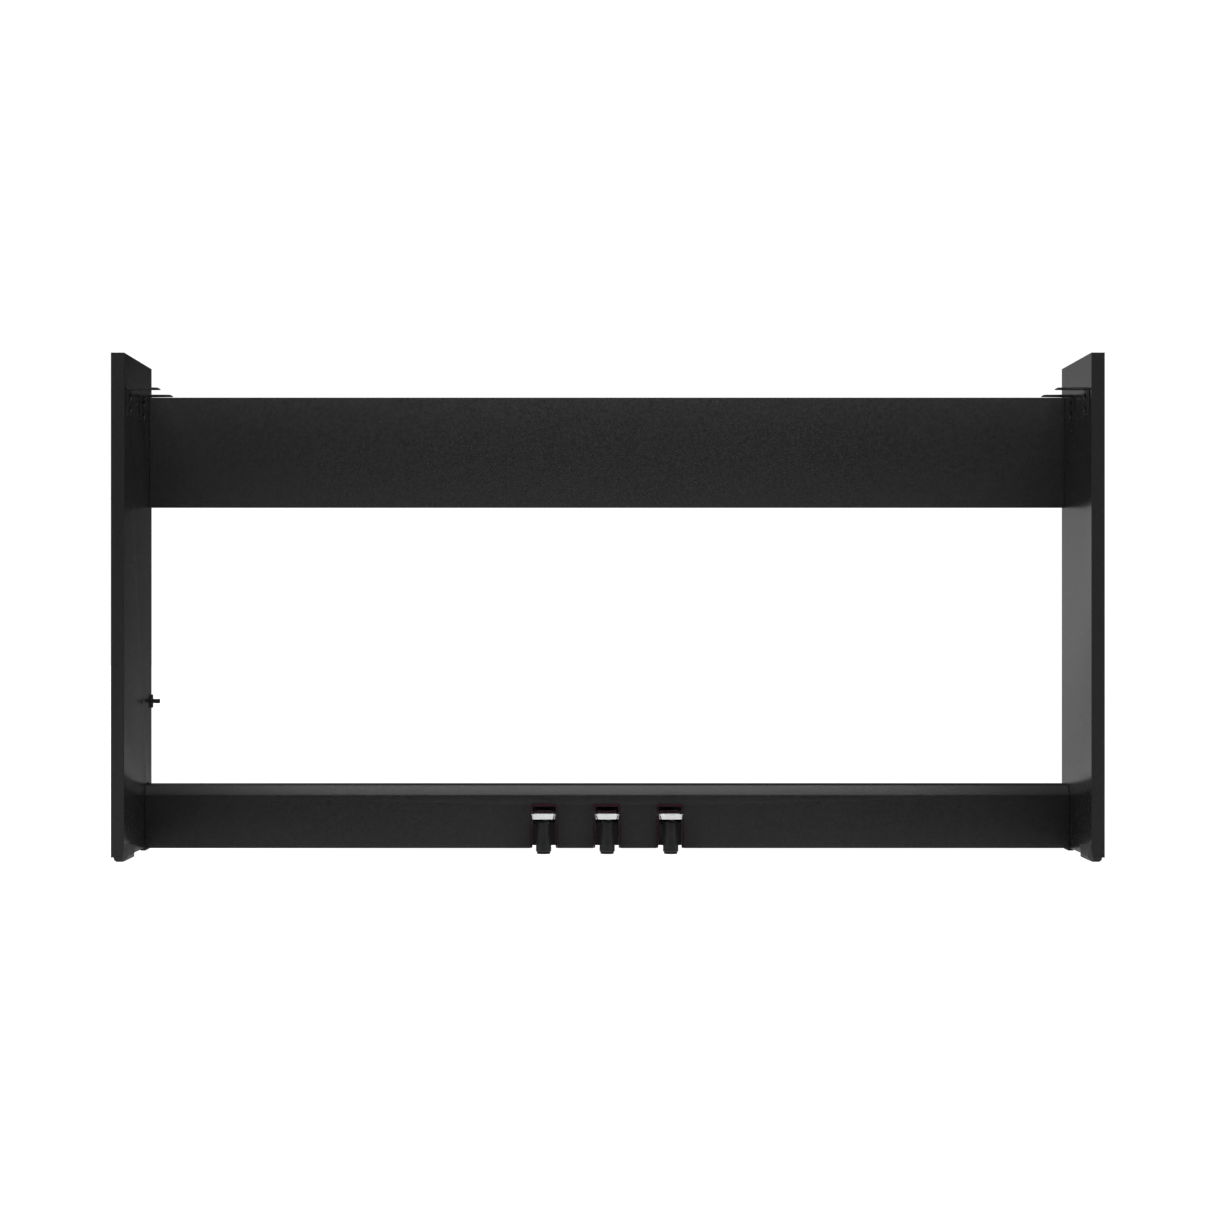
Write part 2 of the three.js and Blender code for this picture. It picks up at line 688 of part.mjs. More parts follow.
// The cheek's root, held in the panel's cut-out, and the cheek itself against the panel's inner face.
const rootProfile = [
  [fx(-5), 3],
  [fx(0.6), 3],
  [fx(0.6), 20.6],
  [fx(GAP), 20.6],
  [fx(-3.3), 6.6],
  [fx(-3.3), 5.75],
  [fx(-5), 5.75],
];
const cheekProfile = [
  [fx(-1.2), 1.3],
  [fx(-0.5), 1.3],
  [fx(3.4), 6.3],
  [fx(1.7), 24.5],
  [fx(GAP), 24.5],
  [fx(GAP), 5.5],
  [fx(-1.2), 5.5],
];
function frontFoot() {
  const y0 = FRONT + 4,
    y1 = FRONT + 114, // the pad's rear end
    y2 = FRONT + 78, // the cheek's rear end at the bottom
    y3 = FRONT + 98; // and at the top
  let cheek = join(prismY(rootProfile, y0, y2), prismY(cheekProfile, y0, y3 + 2));
  // its upper edge falls towards the rear, and its rear edge leans back
  cheek = cut(
    cheek,
    prismX(
      [
        [y0 - 1, 24],
        [y0 + 8, 24],
        [y3 + 12, 17.2],
        [y3 + 12, 30],
        [y0 - 1, 30],
      ],
      fx(-6),
      fx(10),
    ),
    prismX(
      [
        [y2, -1],
        [y3 + 22, -1],
        [y3 + 22, 26],
        [y3 + 13.7, 26],
        [y2, 6.3],
      ],
      fx(-6),
      fx(10),
    ),
  );
  const s = join(prismY(padProfile, y0, y1), cheek);
  // its front end is cut back at an angle
  const nose = new THREE.Shape();
  nose.moveTo(fx(-4.4), y0 - 1);
  nose.lineTo(fx(8), y0 - 1);
  nose.lineTo(fx(8), y0 + 14);
  const g = new THREE.ExtrudeGeometry(nose, { depth: 40, bevelEnabled: false });
  return geometryOf(cut(s, g.translate(0, 0, -5)));
}
const rearFoot = () =>
  prismY(
    [
      [fx(-15.7), 4.4],
      [fx(-9.6), 0],
      [fx(-3.2), 0],
      [fx(-1.5), 1.7],
      [fx(-1.5), 5.75],
      [fx(-15.7), 5.75],
    ],
    103,
    148,
  );
const feet = group();
{
  const f = frontFoot(),
    r = rearFoot();
  piece("foot_front_left", f, BLACK_PLASTIC, feet);
  piece("foot_front_right", mirrored(f), BLACK_PLASTIC, feet);
  piece("foot_rear_left", r, BLACK_PLASTIC, feet);
  piece("foot_rear_right", mirrored(r), BLACK_PLASTIC, feet);
}

// ---------------------------------------------------------------- cable clip

{
  const x = -INNER + GAP;
  const plate = [];
  for (const [cy, cz, a0] of [
    [141, 218.5, 0],
    [133, 218.5, 90],
    [133, 205.5, 180],
    [141, 205.5, 270],
  ])
    for (let k = 0; k <= 3; k++) {
      const a = THREE.MathUtils.degToRad(a0 + 30 * k);
      plate.push([cy + 3 * Math.cos(a), cz + 3 * Math.sin(a)]);
    }
  piece(
    "cable_clip",
    join(
      prismX(plate, x, x + 3),
      box(x + 2.8, x + 13.2, 135, 141, 209, 215),
      box(x + 10.4, x + 13.2, 124, 136, 209, 215),
      box(x + 8.6, x + 11.4, 124, 126.5, 209, 215),
    ),
    BLACK_PLASTIC,
  );
}

export default stand;
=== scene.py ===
import math

import bmesh
import bpy
from mathutils import Matrix, Vector, noise


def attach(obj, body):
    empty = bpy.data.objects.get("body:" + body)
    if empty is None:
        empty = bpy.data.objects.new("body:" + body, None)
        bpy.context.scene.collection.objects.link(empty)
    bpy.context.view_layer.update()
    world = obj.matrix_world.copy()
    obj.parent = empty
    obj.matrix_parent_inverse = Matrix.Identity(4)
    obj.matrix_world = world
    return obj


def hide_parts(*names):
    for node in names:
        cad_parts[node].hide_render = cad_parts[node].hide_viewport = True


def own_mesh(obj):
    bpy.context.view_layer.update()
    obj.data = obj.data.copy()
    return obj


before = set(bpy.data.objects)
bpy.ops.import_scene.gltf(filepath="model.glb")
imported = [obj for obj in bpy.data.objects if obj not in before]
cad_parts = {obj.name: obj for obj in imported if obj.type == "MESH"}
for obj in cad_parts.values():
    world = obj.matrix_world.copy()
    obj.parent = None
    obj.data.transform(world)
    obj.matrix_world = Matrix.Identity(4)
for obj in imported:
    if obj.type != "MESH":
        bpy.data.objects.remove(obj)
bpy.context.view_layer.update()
scene = bpy.context.scene
MM = 0.001
PEDALS = ("left", "middle", "right")
PEDAL_X = {"left": -89.0, "middle": 0.0, "right": 89.0}


# ---------------------------------------------------------------- camera

cam = bpy.data.objects.new("camera", bpy.data.cameras.new("camera"))
scene.collection.objects.link(cam)
cam.location = (-0.0252, -4.926, 0.308)
cam.rotation_euler = (math.radians(90), 0, 0)
cam.data.sensor_width = 36.0
cam.data.lens = 104.9
cam.data.shift_x = 0.0147
cam.data.shift_y = 0.0222
cam.data.clip_start = 0.05
cam.data.clip_end = 100.0
scene.camera = cam
scene.view_settings.view_transform = "Standard"
scene.view_settings.look = "None"
scene.view_settings.exposure = 0.0
scene.view_settings.gamma = 1.0


# ---------------------------------------------------------------- mesh helpers (millimetres in, metres out)


def shade(ob, angle=35.0):
    ob.data.shade_smooth()
    ob.data.set_sharp_from_angle(angle=math.radians(angle))
    return ob


def mesh_object(name, verts, faces, angle=35.0, weld=1e-6):
    me = bpy.data.meshes.new(name)
    me.from_pydata([(v[0] * MM, v[1] * MM, v[2] * MM) for v in verts], [], faces)
    bm = bmesh.new()
    bm.from_mesh(me)
    bmesh.ops.remove_doubles(bm, verts=bm.verts, dist=weld)
    bmesh.ops.dissolve_degenerate(bm, dist=1e-8, edges=bm.edges)
    bmesh.ops.recalc_face_normals(bm, faces=bm.faces)
    bm.to_mesh(me)
    bm.free()
    ob = bpy.data.objects.new(name, me)
    scene.collection.objects.link(ob)
    return shade(ob, angle)


def baked(ob):
    """The object's modifiers applied to its own mesh."""
    bpy.context.view_layer.update()
    dg = bpy.context.evaluated_depsgraph_get()
    me = bpy.data.meshes.new_from_object(ob.evaluated_get(dg), depsgraph=dg)
    old = ob.data
    ob.modifiers.clear()
    ob.data = me
    me.name = ob.name
    if old.users == 0:
        bpy.data.meshes.remove(old)
    return ob


def cut(ob, cutters, join=False):
    """ob less its cutters, or joined with them, which are used up."""
    for c in cutters:
        m = ob.modifiers.new("cut", "BOOLEAN")
        m.operation = "UNION" if join else "DIFFERENCE"
        m.solver = "EXACT"
        m.object = c
    baked(ob)
    for c in cutters:
        bpy.data.objects.remove(c)
    return ob


def bevel(ob, width, segments=3, angle=35.0, apply=True, shade_angle=35.0):
    m = ob.modifiers.new("edge", "BEVEL")
    m.width = width * MM
    m.segments = segments
    m.limit_method = "ANGLE"
    m.angle_limit = math.radians(angle)
    m.use_clamp_overlap = True
    if apply:
        baked(ob)
        shade(ob, shade_angle)
    return ob


def box(name, x0, x1, y0, y1, z0, z1):
    v = [(x, y, z) for z in (z0, z1) for y in (y0, y1) for x in (x0, x1)]
    f = [(0, 2, 3, 1), (4, 5, 7, 6), (0, 1, 5, 4), (2, 6, 7, 3), (0, 4, 6, 2), (1, 3, 7, 5)]
    return mesh_object(name, v, f)


def fillet(points, radii, n=5, closed=False):
    """A polyline with its corners rounded; radii is one number, or one a corner."""
    count = len(points)
    if not hasattr(radii, "__len__"):
        radii = [radii] * count
    out = []
    for i, p in enumerate(points):
        if (not closed and i in (0, count - 1)) or radii[i] <= 0:
            out.append(tuple(p))
            continue
        a = Vector(points[i - 1]) - Vector(p)
        b = Vector(points[(i + 1) % count]) - Vector(p)
        half = a.angle(b) / 2
        if half > math.radians(89):
            out.append(tuple(p))
            continue
        reach = min(radii[i] / math.tan(half), 0.49 * a.length, 0.49 * b.length)
        r = reach * math.tan(half)
        a.normalize()
        b.normalize()
        centre = Vector(p) + (a + b).normalized() * (r / math.sin(half))
        s = Vector(p) + a * reach - centre
        e = Vector(p) + b * reach - centre
        total = s.angle(e)
        for k in range(n + 1):
            t = k / n
            if total < 1e-6:
                q = s
            else:
                q = (s * math.sin((1 - t) * total) + e * math.sin(t * total)) / math.sin(total)
            out.append(tuple(centre + q))
    return out


def prism(name, points, axis, a, b, angle=35.0):
    """A closed profile extruded along an axis. Points are (y, z) for x, (x, z) for y and (x, y) for z."""

    def at(p, t):
        if axis == "x":
            return (t, p[0], p[1])
        if axis == "y":
            return (p[0], t, p[1])
        return (p[0], p[1], t)

    n = len(points)
    v = [at(p, a) for p in points] + [at(p, b) for p in points]
    f = [tuple(range(n)), tuple(range(2 * n - 1, n - 1, -1))]
    f += [(i, (i + 1) % n, n + (i + 1) % n, n + i) for i in range(n)]
    return mesh_object(name, v, f, angle)


def rod(name, axis, a, b, p, q, r, sides=48):
    pts = [(p + r * math.cos(2 * math.pi * k / sides), q + r * math.sin(2 * math.pi * k / sides)) for k in range(sides)]
    return prism(name, pts, axis, a, b)


def lathe(name, profile, centre=(0, 0), segments=64, radius=None, angle=35.0):
    """A turned piece about a vertical axis at centre; the profile is (r, z) from the bottom's middle up to the top's middle.
    radius, if given, is a function of (r, z, turn) that gives the radius there."""
    v, f = [], []
    rows = []
    for r, z in profile:
        if r < 1e-6:
            rows.append([len(v)])
            v.append((centre[0], centre[1], z))
            continue
        row = []
        for k in range(segments):
            t = 2 * math.pi * k / segments
            rr = radius(r, z, t) if radius else r
            row.append(len(v))
            v.append((centre[0] + rr * math.cos(t), centre[1] + rr * math.sin(t), z))
        rows.append(row)
    for lo, hi in zip(rows, rows[1:]):
        for k in range(segments):
            j = (k + 1) % segments
            if len(lo) == 1 and len(hi) == 1:
                continue
            if len(lo) == 1:
                f.append((lo[0], hi[j], hi[k]))
            elif len(hi) == 1:
                f.append((lo[k], lo[j], hi[0]))
            else:
                f.append((lo[k], lo[j], hi[j], hi[k]))
    return mesh_object(name, v, f, angle)


def move(ob, m):
    ob.data.transform(m)
    ob.data.update()
    return ob


def copy_of(ob, name, at=(0, 0, 0), turn=0.0):
    """Another piece with the same mesh, moved by millimetres and turned about z."""
    c = bpy.data.objects.new(name, ob.data)
    scene.collection.objects.link(c)
    c.matrix_world = Matrix.Translation(Vector(at) * MM) @ Matrix.Rotation(turn, 4, "Z")
    return c


def dress(ob, mat, body, stands_for=()):
    if mat is not None:
        ob.data.materials.clear()
        ob.data.materials.append(mat)
    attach(ob, body)
    if stands_for:
        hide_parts(*stands_for)
    return ob


def carried(node, mat, width=0.4, segments=3, angle=35.0):
    """A CAD node that stays: its edges are broken by a bevel and it gets a finish."""
    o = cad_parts[node]
    for s in o.material_slots:
        s.link = "OBJECT"
        s.material = mat
    if not o.material_slots:
        o.data.materials.append(mat)
    w = o.modifiers.new("weld", "WELD")
    w.merge_threshold = 2e-6
    if width:
        bevel(o, width, segments, angle, apply=False)
    return o


def roughen(ob, amount, scale, seed=0.0):
    """Small lumps on a finely divided mesh, in millimetres."""
    me = ob.data
    normals = [v.normal.copy() for v in me.vertices]
    for v, n in zip(me.vertices, normals):
        p = v.co * (1000.0 / scale) + Vector((seed, seed * 0.37, -seed))
        v.co += n * (noise.noise(p) * amount * MM)
    me.update()
    return ob


# ---------------------------------------------------------------- materials


def node_mat(name):
    m = bpy.data.materials.new(name)
    m.use_nodes = True
    nt = m.node_tree
    bsdf = nt.nodes["Principled BSDF"]
    return m, nt, bsdf


def tex(nt, kind, scale, detail=2.0, coord="Object", **kw):
    tc = nt.nodes.get("coords") or nt.nodes.new("ShaderNodeTexCoord")
    tc.name = "coords"
    t = nt.nodes.new(kind)
    t.inputs["Scale"].default_value = scale
    if "Detail" in t.inputs:
        t.inputs["Detail"].default_value = detail
    for k, v in kw.items():
        if k in t.inputs:
            t.inputs[k].default_value = v
        else:
            setattr(t, k, v)
    nt.links.new(tc.outputs[coord], t.inputs["Vector"])
    return t


def ramp(nt, source, stops):
    r = nt.nodes.new("ShaderNodeValToRGB")
    while len(r.color_ramp.elements) < len(stops):
        r.color_ramp.elements.new(0.5)
    for e, (p, c) in zip(r.color_ramp.elements, stops):
        e.position = p
        e.color = (*c, 1.0) if len(c) == 3 else c
    nt.links.new(source, r.inputs["Fac"])
    return r


def remap(nt, source, lo, hi, a=0.0, b=1.0):
    n = nt.nodes.new("ShaderNodeMapRange")
    n.inputs["From Min"].default_value = a
    n.inputs["From Max"].default_value = b
    n.inputs["To Min"].default_value = lo
    n.inputs["To Max"].default_value = hi
    nt.links.new(source, n.inputs["Value"])
    return n


def maths(nt, op, a, b):
    n = nt.nodes.new("ShaderNodeMath")
    n.operation = op
    for i, s in enumerate((a, b)):
        if hasattr(s, "is_output"):
            nt.links.new(s, n.inputs[i])
        else:
            n.inputs[i].default_value = s
    return n


def bump(nt, bsdf, height, strength, distance, normal=None):
    b = nt.nodes.new("ShaderNodeBump")
    b.inputs["Strength"].default_value = strength
    b.inputs["Distance"].default_value = distance
    nt.links.new(height, b.inputs["Height"])
    if normal is not None:
        nt.links.new(normal, b.inputs["Normal"])
    nt.links.new(b.outputs["Normal"], bsdf.inputs["Normal"])
    return b


def laminate(name, dark, light, rough=(0.42, 0.52), grain=0.35, specular=0.5):
    """Black melamine board: fine pearl grain, a little mottle, satin gloss."""
    m, nt, bsdf = node_mat(name)
    fine = tex(nt, "ShaderNodeTexNoise", 620.0, 3.0, Roughness=0.6)
    mottle = tex(nt, "ShaderNodeTexNoise", 210.0, 4.0, Roughness=0.65)
    broad = tex(nt, "ShaderNodeTexNoise", 5.0, 2.0)
    mix = maths(nt, "ADD", maths(nt, "MULTIPLY", fine.outputs["Fac"], 0.45).outputs[0], maths(nt, "MULTIPLY", mottle.outputs["Fac"], 0.45).outputs[0])
    mix = maths(nt, "ADD", mix.outputs[0], maths(nt, "MULTIPLY", broad.outputs["Fac"], 0.1).outputs[0])
    col = ramp(nt, mix.outputs[0], [(0.34, dark), (0.66, light)])
    nt.links.new(col.outputs["Color"], bsdf.inputs["Base Color"])
    r = remap(nt, mottle.outputs["Fac"], rough[0], rough[1], 0.3, 0.7)
    nt.links.new(r.outputs["Result"], bsdf.inputs["Roughness"])
    cells = tex(nt, "ShaderNodeTexVoronoi", 520.0, feature="SMOOTH_F1")
    h = maths(nt, "ADD", maths(nt, "MULTIPLY", cells.outputs["Distance"], 0.6).outputs[0], maths(nt, "MULTIPLY", fine.outputs["Fac"], 0.6).outputs[0])
    bump(nt, bsdf, h.outputs[0], grain, 0.00022)
    bsdf.inputs["Specular IOR Level"].default_value = specular
    return m


def edge_band(name, dark, light):
    """The thin plastic band on a board's edges, smoother than its faces."""
    m, nt, bsdf = node_mat(name)
    n = tex(nt, "ShaderNodeTexNoise", 420.0, 3.0)
    col = ramp(nt, n.outputs["Fac"], [(0.3, dark), (0.7, light)])
    nt.links.new(col.outputs["Color"], bsdf.inputs["Base Color"])
    r = remap(nt, n.outputs["Fac"], 0.38, 0.48, 0.3, 0.7)
    nt.links.new(r.outputs["Result"], bsdf.inputs["Roughness"])
    bump(nt, bsdf, n.outputs["Fac"], 0.12, 0.0001)
    bsdf.inputs["Specular IOR Level"].default_value = 0.5
    return m


def coated_steel(name, dark, light, rough=(0.36, 0.5), peel=0.25):
    """Black powder coat: orange peel over steel."""
    m, nt, bsdf = node_mat(name)
    n = tex(nt, "ShaderNodeTexNoise", 700.0, 2.0)
    w = tex(nt, "ShaderNodeTexNoise", 90.0, 2.0)
    col = ramp(nt, w.outputs["Fac"], [(0.3, dark), (0.7, light)])
    nt.links.new(col.outputs["Color"], bsdf.inputs["Base Color"])
    r = remap(nt, w.outputs["Fac"], rough[0], rough[1], 0.3, 0.7)
    nt.links.new(r.outputs["Result"], bsdf.inputs["Roughness"])
    bump(nt, bsdf, n.outputs["Fac"], peel, 0.00015)
    bsdf.inputs["Coat Weight"].default_value = 0.15
    bsdf.inputs["Coat Roughness"].default_value = 0.25
    return m


def chrome_mat(name):
    """Polished chrome with faint wipe marks."""
    m, nt, bsdf = node_mat(name)
    n = tex(nt, "ShaderNodeTexNoise", 60.0, 3.0)
    col = ramp(nt, n.outputs["Fac"], [(0.3, (0.86, 0.87, 0.88)), (0.7, (0.93, 0.935, 0.94))])
    nt.links.new(col.outputs["Color"], bsdf.inputs["Base Color"])
    r = remap(nt, n.outputs["Fac"], 0.055, 0.11, 0.35, 0.7)
    nt.links.new(r.outputs["Result"], bsdf.inputs["Roughness"])
    bsdf.inputs["Metallic"].default_value = 1.0
    return m


def bare_steel(name, dark, light, rough=(0.25, 0.4), stretch=1.0):
    m, nt, bsdf = node_mat(name)
    n = tex(nt, "ShaderNodeTexNoise", 320.0, 4.0)
    s = tex(nt, "ShaderNodeTexVoronoi", 120.0)
    mix = maths(nt, "ADD", maths(nt, "MULTIPLY", n.outputs["Fac"], 0.6).outputs[0], maths(nt, "MULTIPLY", s.outputs["Distance"], 0.4).outputs[0])
    col = ramp(nt, mix.outputs[0], [(0.3, dark), (0.75, light)])
    nt.links.new(col.outputs["Color"], bsdf.inputs["Base Color"])
    r = remap(nt, n.outputs["Fac"], rough[0], rough[1], 0.3, 0.7)
    nt.links.new(r.outputs["Result"], bsdf.inputs["Roughness"])
    bump(nt, bsdf, n.outputs["Fac"], 0.08, 0.0001)
    bsdf.inputs["Metallic"].default_value = 1.0
    return m


def plastic(name, dark, light, rough=(0.35, 0.5), grain=0.2, scale=900.0):
    """Moulded plastic with a fine spark-eroded grain."""
    m, nt, bsdf = node_mat(name)
    n = tex(nt, "ShaderNodeTexNoise", scale, 3.0, Roughness=0.6)
    w = tex(nt, "ShaderNodeTexNoise", 70.0, 2.0)
    col = ramp(nt, w.outputs["Fac"], [(0.3, dark), (0.7, light)])
    nt.links.new(col.outputs["Color"], bsdf.inputs["Base Color"])
    r = remap(nt, n.outputs["Fac"], rough[0], rough[1], 0.3, 0.7)
    nt.links.new(r.outputs["Result"], bsdf.inputs["Roughness"])
    bump(nt, bsdf, n.outputs["Fac"], grain, 0.00012)
    bsdf.inputs["Specular IOR Level"].default_value = 0.5
    return m


def felt(name, dark, light):
    """Pressed wool felt: matted fibres, soft sheen."""
    m, nt, bsdf = node_mat(name)
    fibre = tex(nt, "ShaderNodeTexNoise", 1500.0, 6.0, Roughness=0.75, Distortion=1.2)
    mat_ = tex(nt, "ShaderNodeTexNoise", 260.0, 4.0, Roughness=0.6)
    mix = maths(nt, "ADD", maths(nt, "MULTIPLY", fibre.outputs["Fac"], 0.6).outputs[0], maths(nt, "MULTIPLY", mat_.outputs["Fac"], 0.4).outputs[0])
    col = ramp(nt, mix.outputs[0], [(0.32, dark), (0.68, light)])
    nt.links.new(col.outputs["Color"], bsdf.inputs["Base Color"])
    bsdf.inputs["Roughness"].default_value = 0.95
    bsdf.inputs["Specular IOR Level"].default_value = 0.15
    bsdf.inputs["Sheen Weight"].default_value = 0.25
    bsdf.inputs["Sheen Roughness"].default_value = 0.5
    bump(nt, bsdf, mix.outputs[0], 0.7, 0.0004)
    return m


def circuit(name):
    """Green solder mask with traces."""
    m, nt, bsdf = node_mat(name)
    tr = tex(nt, "ShaderNodeTexBrick", 120.0)
    tr.inputs["Mortar Size"].default_value = 0.035
    tr.inputs["Color1"].default_value = (0.006, 0.05, 0.022, 1)
    tr.inputs["Color2"].default_value = (0.008, 0.062, 0.028, 1)
    tr.inputs["Mortar"].default_value = (0.012, 0.095, 0.04, 1)
    nt.links.new(tr.outputs["Color"], bsdf.inputs["Base Color"])
    r = remap(nt, tr.outputs["Fac"], 0.3, 0.42)
    nt.links.new(r.outputs["Result"], bsdf.inputs["Roughness"])
    bump(nt, bsdf, tr.outputs["Fac"], 0.3, 0.0001)
    return m


BOARD = laminate("black_laminate", (0.0050, 0.0050, 0.0052), (0.0200, 0.0200, 0.0205))
PANEL = laminate("black_laminate_panel", (0.0070, 0.0070, 0.0073), (0.0170, 0.0170, 0.0175), rough=(0.20, 0.28), grain=0.22)
BAND = edge_band("black_edge_band", (0.010, 0.010, 0.0105), (0.016, 0.016, 0.0165))
BLACK_STEEL = coated_steel("black_coated_steel", (0.009, 0.009, 0.0095), (0.016, 0.016, 0.0165))
CHROME = chrome_mat("polished_chrome")
STEEL = bare_steel("bright_steel", (0.40, 0.41, 0.43), (0.62, 0.63, 0.65))
ZINC = bare_steel("zinc_plate", (0.42, 0.44, 0.47), (0.60, 0.61, 0.62), (0.3, 0.48))
BLACK_SCREW = coated_steel("black_oxide", (0.012, 0.012, 0.013), (0.022, 0.022, 0.023), (0.26, 0.38), 0.1)
PLASTIC = plastic("black_plastic", (0.0095, 0.0095, 0.010), (0.0145, 0.0145, 0.015))
# The feet's plastic is about four times lighter than the other black plastic: painted light, standing in for light from
# the floor falling on the feet.
FOOT_PAINTED_LIT = plastic("foot_plastic", (0.040, 0.040, 0.041), (0.058, 0.058, 0.060), (0.4, 0.55), 0.25)
RUBBER = plastic("black_rubber", (0.010, 0.010, 0.010), (0.018, 0.018, 0.018), (0.75, 0.9), 0.35, 500.0)
RED_FELT = felt("red_felt", (0.020, 0.0035, 0.0065), (0.060, 0.010, 0.020))
GREY_FELT = felt("grey_felt", (0.035, 0.035, 0.037), (0.085, 0.085, 0.088))
CIRCUIT = circuit("circuit_board")


def two_finishes(ob, face, band, is_band):
    """The band's finish on the faces for which is_band(normal, centre in mm) holds, and the board's on the others."""
    ob.data.materials.clear()
    ob.data.materials.append(face)
    ob.data.materials.append(band)
    for p in ob.data.polygons:
        p.material_index = 1 if is_band(p.normal, p.center * 1000.0) else 0
    return ob


# ---------------------------------------------------------------- boards

WIDTH, INNER = 1342.0, 653.0
BOARD_HALF = INNER - 0.25
BRACKET_Y = {"front": -134.0, "rear": 11.0}
BRACKET_W, BRACKET_T, BRACKET_LEG, SCREW_Y = 45.0, 1.2, 42.5, 34.0
SCREW_Z = (614.0, 631.0)
BOARD_BOLTS = [(132.5, 530.0), (132.5, 605.0)]
BOX_BOLTS = [(108.5, 28.0), (108.5, 62.0)]


def side_panel(name, s):
    """s is -1 for the left panel and 1 for the right one."""
    ob = box(name, *sorted((s * INNER, s * WIDTH / 2)), -150, 150, 6, 688)
    corner = [(s * (INNER + 3.6), 5), (s * (INNER - 1), 5), (s * (INNER - 1), 20), (s * INNER, 20), (s * (INNER + 3.6), 6)]
    tools = [prism("t", corner, "y", -151, -71.5)]
    for y, z in BOARD_BOLTS + BOX_BOLTS:
        tools.append(rod("t", "x", *sorted((s * (INNER - 1), s * (WIDTH / 2 + 1))), y, z, 3.3))
    cut(ob, tools)
    tools = [rod("t", "x", *sorted((s * (WIDTH / 2 - 3.2), s * (WIDTH / 2 + 1))), y, z, 5.4) for y, z in BOARD_BOLTS + BOX_BOLTS]
    for y0 in BRACKET_Y.values():
        for z in SCREW_Z:
            tools.append(rod("t", "x", *sorted((s * (INNER - 1), s * (INNER + 13))), y0 + SCREW_Y, z, 2.2, 24))
    cut(ob, tools)
    bevel(ob, 0.7, 4, 40)
    two_finishes(ob, PANEL, BAND, lambda n, c: abs(n.x) < 0.6 and (c.y < -149 or c.y > 149 or c.z > 687 or c.z < 6.9))
    return ob


for side, s in (("left", -1), ("right", 1)):
    dress(side_panel(f"panel_{side}", s), None, "root", [f"side_panel_{side}"])

upper = box("upper_rear_board", -BOARD_HALF, BOARD_HALF, 125, 140, 488.5, 645.5)
cut(upper, [rod("t", "x", *sorted((s * (INNER + 1), s * (INNER - 41))), y, z, 3.3, 24) for s in (-1, 1) for y, z in BOARD_BOLTS])
bevel(upper, 0.45, 3, 40)
two_finishes(upper, BOARD, BAND, lambda n, c: abs(n.y) < 0.6)
dress(upper, None, "root", ["back_board"])


def slot_outline(cx, half, top, r, bottom, n=8):
    pts = [(cx - half, bottom), (cx + half, bottom), (cx + half, top), (cx - half, top)]
    return fillet(pts, [0, 0, r, r], n, closed=True)


front = box("pedal_box_front", -BOARD_HALF, BOARD_HALF, 70, 85, 5.5, 80.25)
cut(front, [prism("t", slot_outline(x, 18.75, 67.75, 3.0, 0), "y", 68, 87) for x in PEDAL_X.values()])
bevel(front, 0.45, 3, 40)
two_finishes(front, BOARD, BAND, lambda n, c: abs(n.y) < 0.6)
dress(front, None, "root", ["box_front_board"])

top_points = [(70, 80.5), (150, 80.5), (150, 94), (79, 94)]
top = prism("pedal_box_top", top_points, "x", -BOARD_HALF, BOARD_HALF)
bevel(top, 0.5, 3, 30)
two_finishes(top, BOARD, BAND, lambda n, c: abs(n.x) > 0.6 or c.y > 149)
dress(top, None, "root", ["box_top_board"])

rear = box("pedal_box_rear", -BOARD_HALF, BOARD_HALF, 132, 147, 6, 80.25)
cut(rear, [box("t", -61.75, -46.25, 130, 149, 60.25, 71.75)])
bevel(rear, 0.4, 3, 40)
two_finishes(rear, BOARD, BAND, lambda n, c: abs(n.y) < 0.6)
dress(rear, None, "root", ["box_rear_board"])


# ---------------------------------------------------------------- felt round the pedal slots


def slot_felt(name, cx):
    """A strip of felt folded round the slot, with a fuzzy surface."""

    def path(half, top, r, side_steps, arc_steps, top_steps):
        pts = []
        for k in range(side_steps):
            pts.append((-half, 6 + (top - r - 6) * k / side_steps))
        for k in range(arc_steps):
            a = math.pi - (math.pi / 2) * k / arc_steps
            pts.append((-half + r + r * math.cos(a), top - r + r * math.sin(a)))
        for k in range(top_steps):
            pts.append((-half + r + (2 * half - 2 * r) * k / top_steps, top))
        for k in range(arc_steps):
            a = math.pi / 2 - (math.pi / 2) * k / arc_steps
            pts.append((half - r + r * math.cos(a), top - r + r * math.sin(a)))
        for k in range(side_steps + 1):
            pts.append((half, top - r - (top - r - 6) * k / side_steps))
        return pts

    outer = path(18.5, 67.5, 2.8, 60, 6, 34)
    inner = path(16.6, 64.3, 1.6, 60, 6, 34)
    through, deep = 3, 15
    ring = []  # not used; each loop of the section goes straight into v
    n = len(outer)
    v, f = [], []
    section = []
    for i in range(through + 1):
        section.append((0, i / through))
    for j in range(1, deep + 1):
        section.append((j / deep, 1.0))
    for i in range(1, through + 1):
        section.append((1.0, 1 - i / through))
    for j in range(1, deep):
        section.append((1 - j / deep, 0.0))
    m = len(section)
    for k in range(n):
        for d, t in section:
            # the strip's long edges are rounded over
            edge = min(d, 1 - d) * 15.0
            tt = t if t < 0.5 else 1.0 - 0.28 * max(0.0, 1 - edge / 1.1) ** 2 / (1 if t > 0.99 else 3)
            tt = min(tt, t)
            x = outer[k][0] * (1 - tt) + inner[k][0] * tt
            z = outer[k][1] * (1 - tt) + inner[k][1] * tt
            v.append((cx + x, 69.5 + 15.0 * d, z))
    for k in range(n - 1):
        for i in range(m):
            j = (i + 1) % m
            f.append((k * m + i, k * m + j, (k + 1) * m + j, (k + 1) * m + i))
    f.append(tuple(range(m)))
    f.append(tuple((n - 1) * m + i for i in reversed(range(m))))
    ob = mesh_object(name, v, f, 60)
    return roughen(ob, 0.22, 1.6, cx)


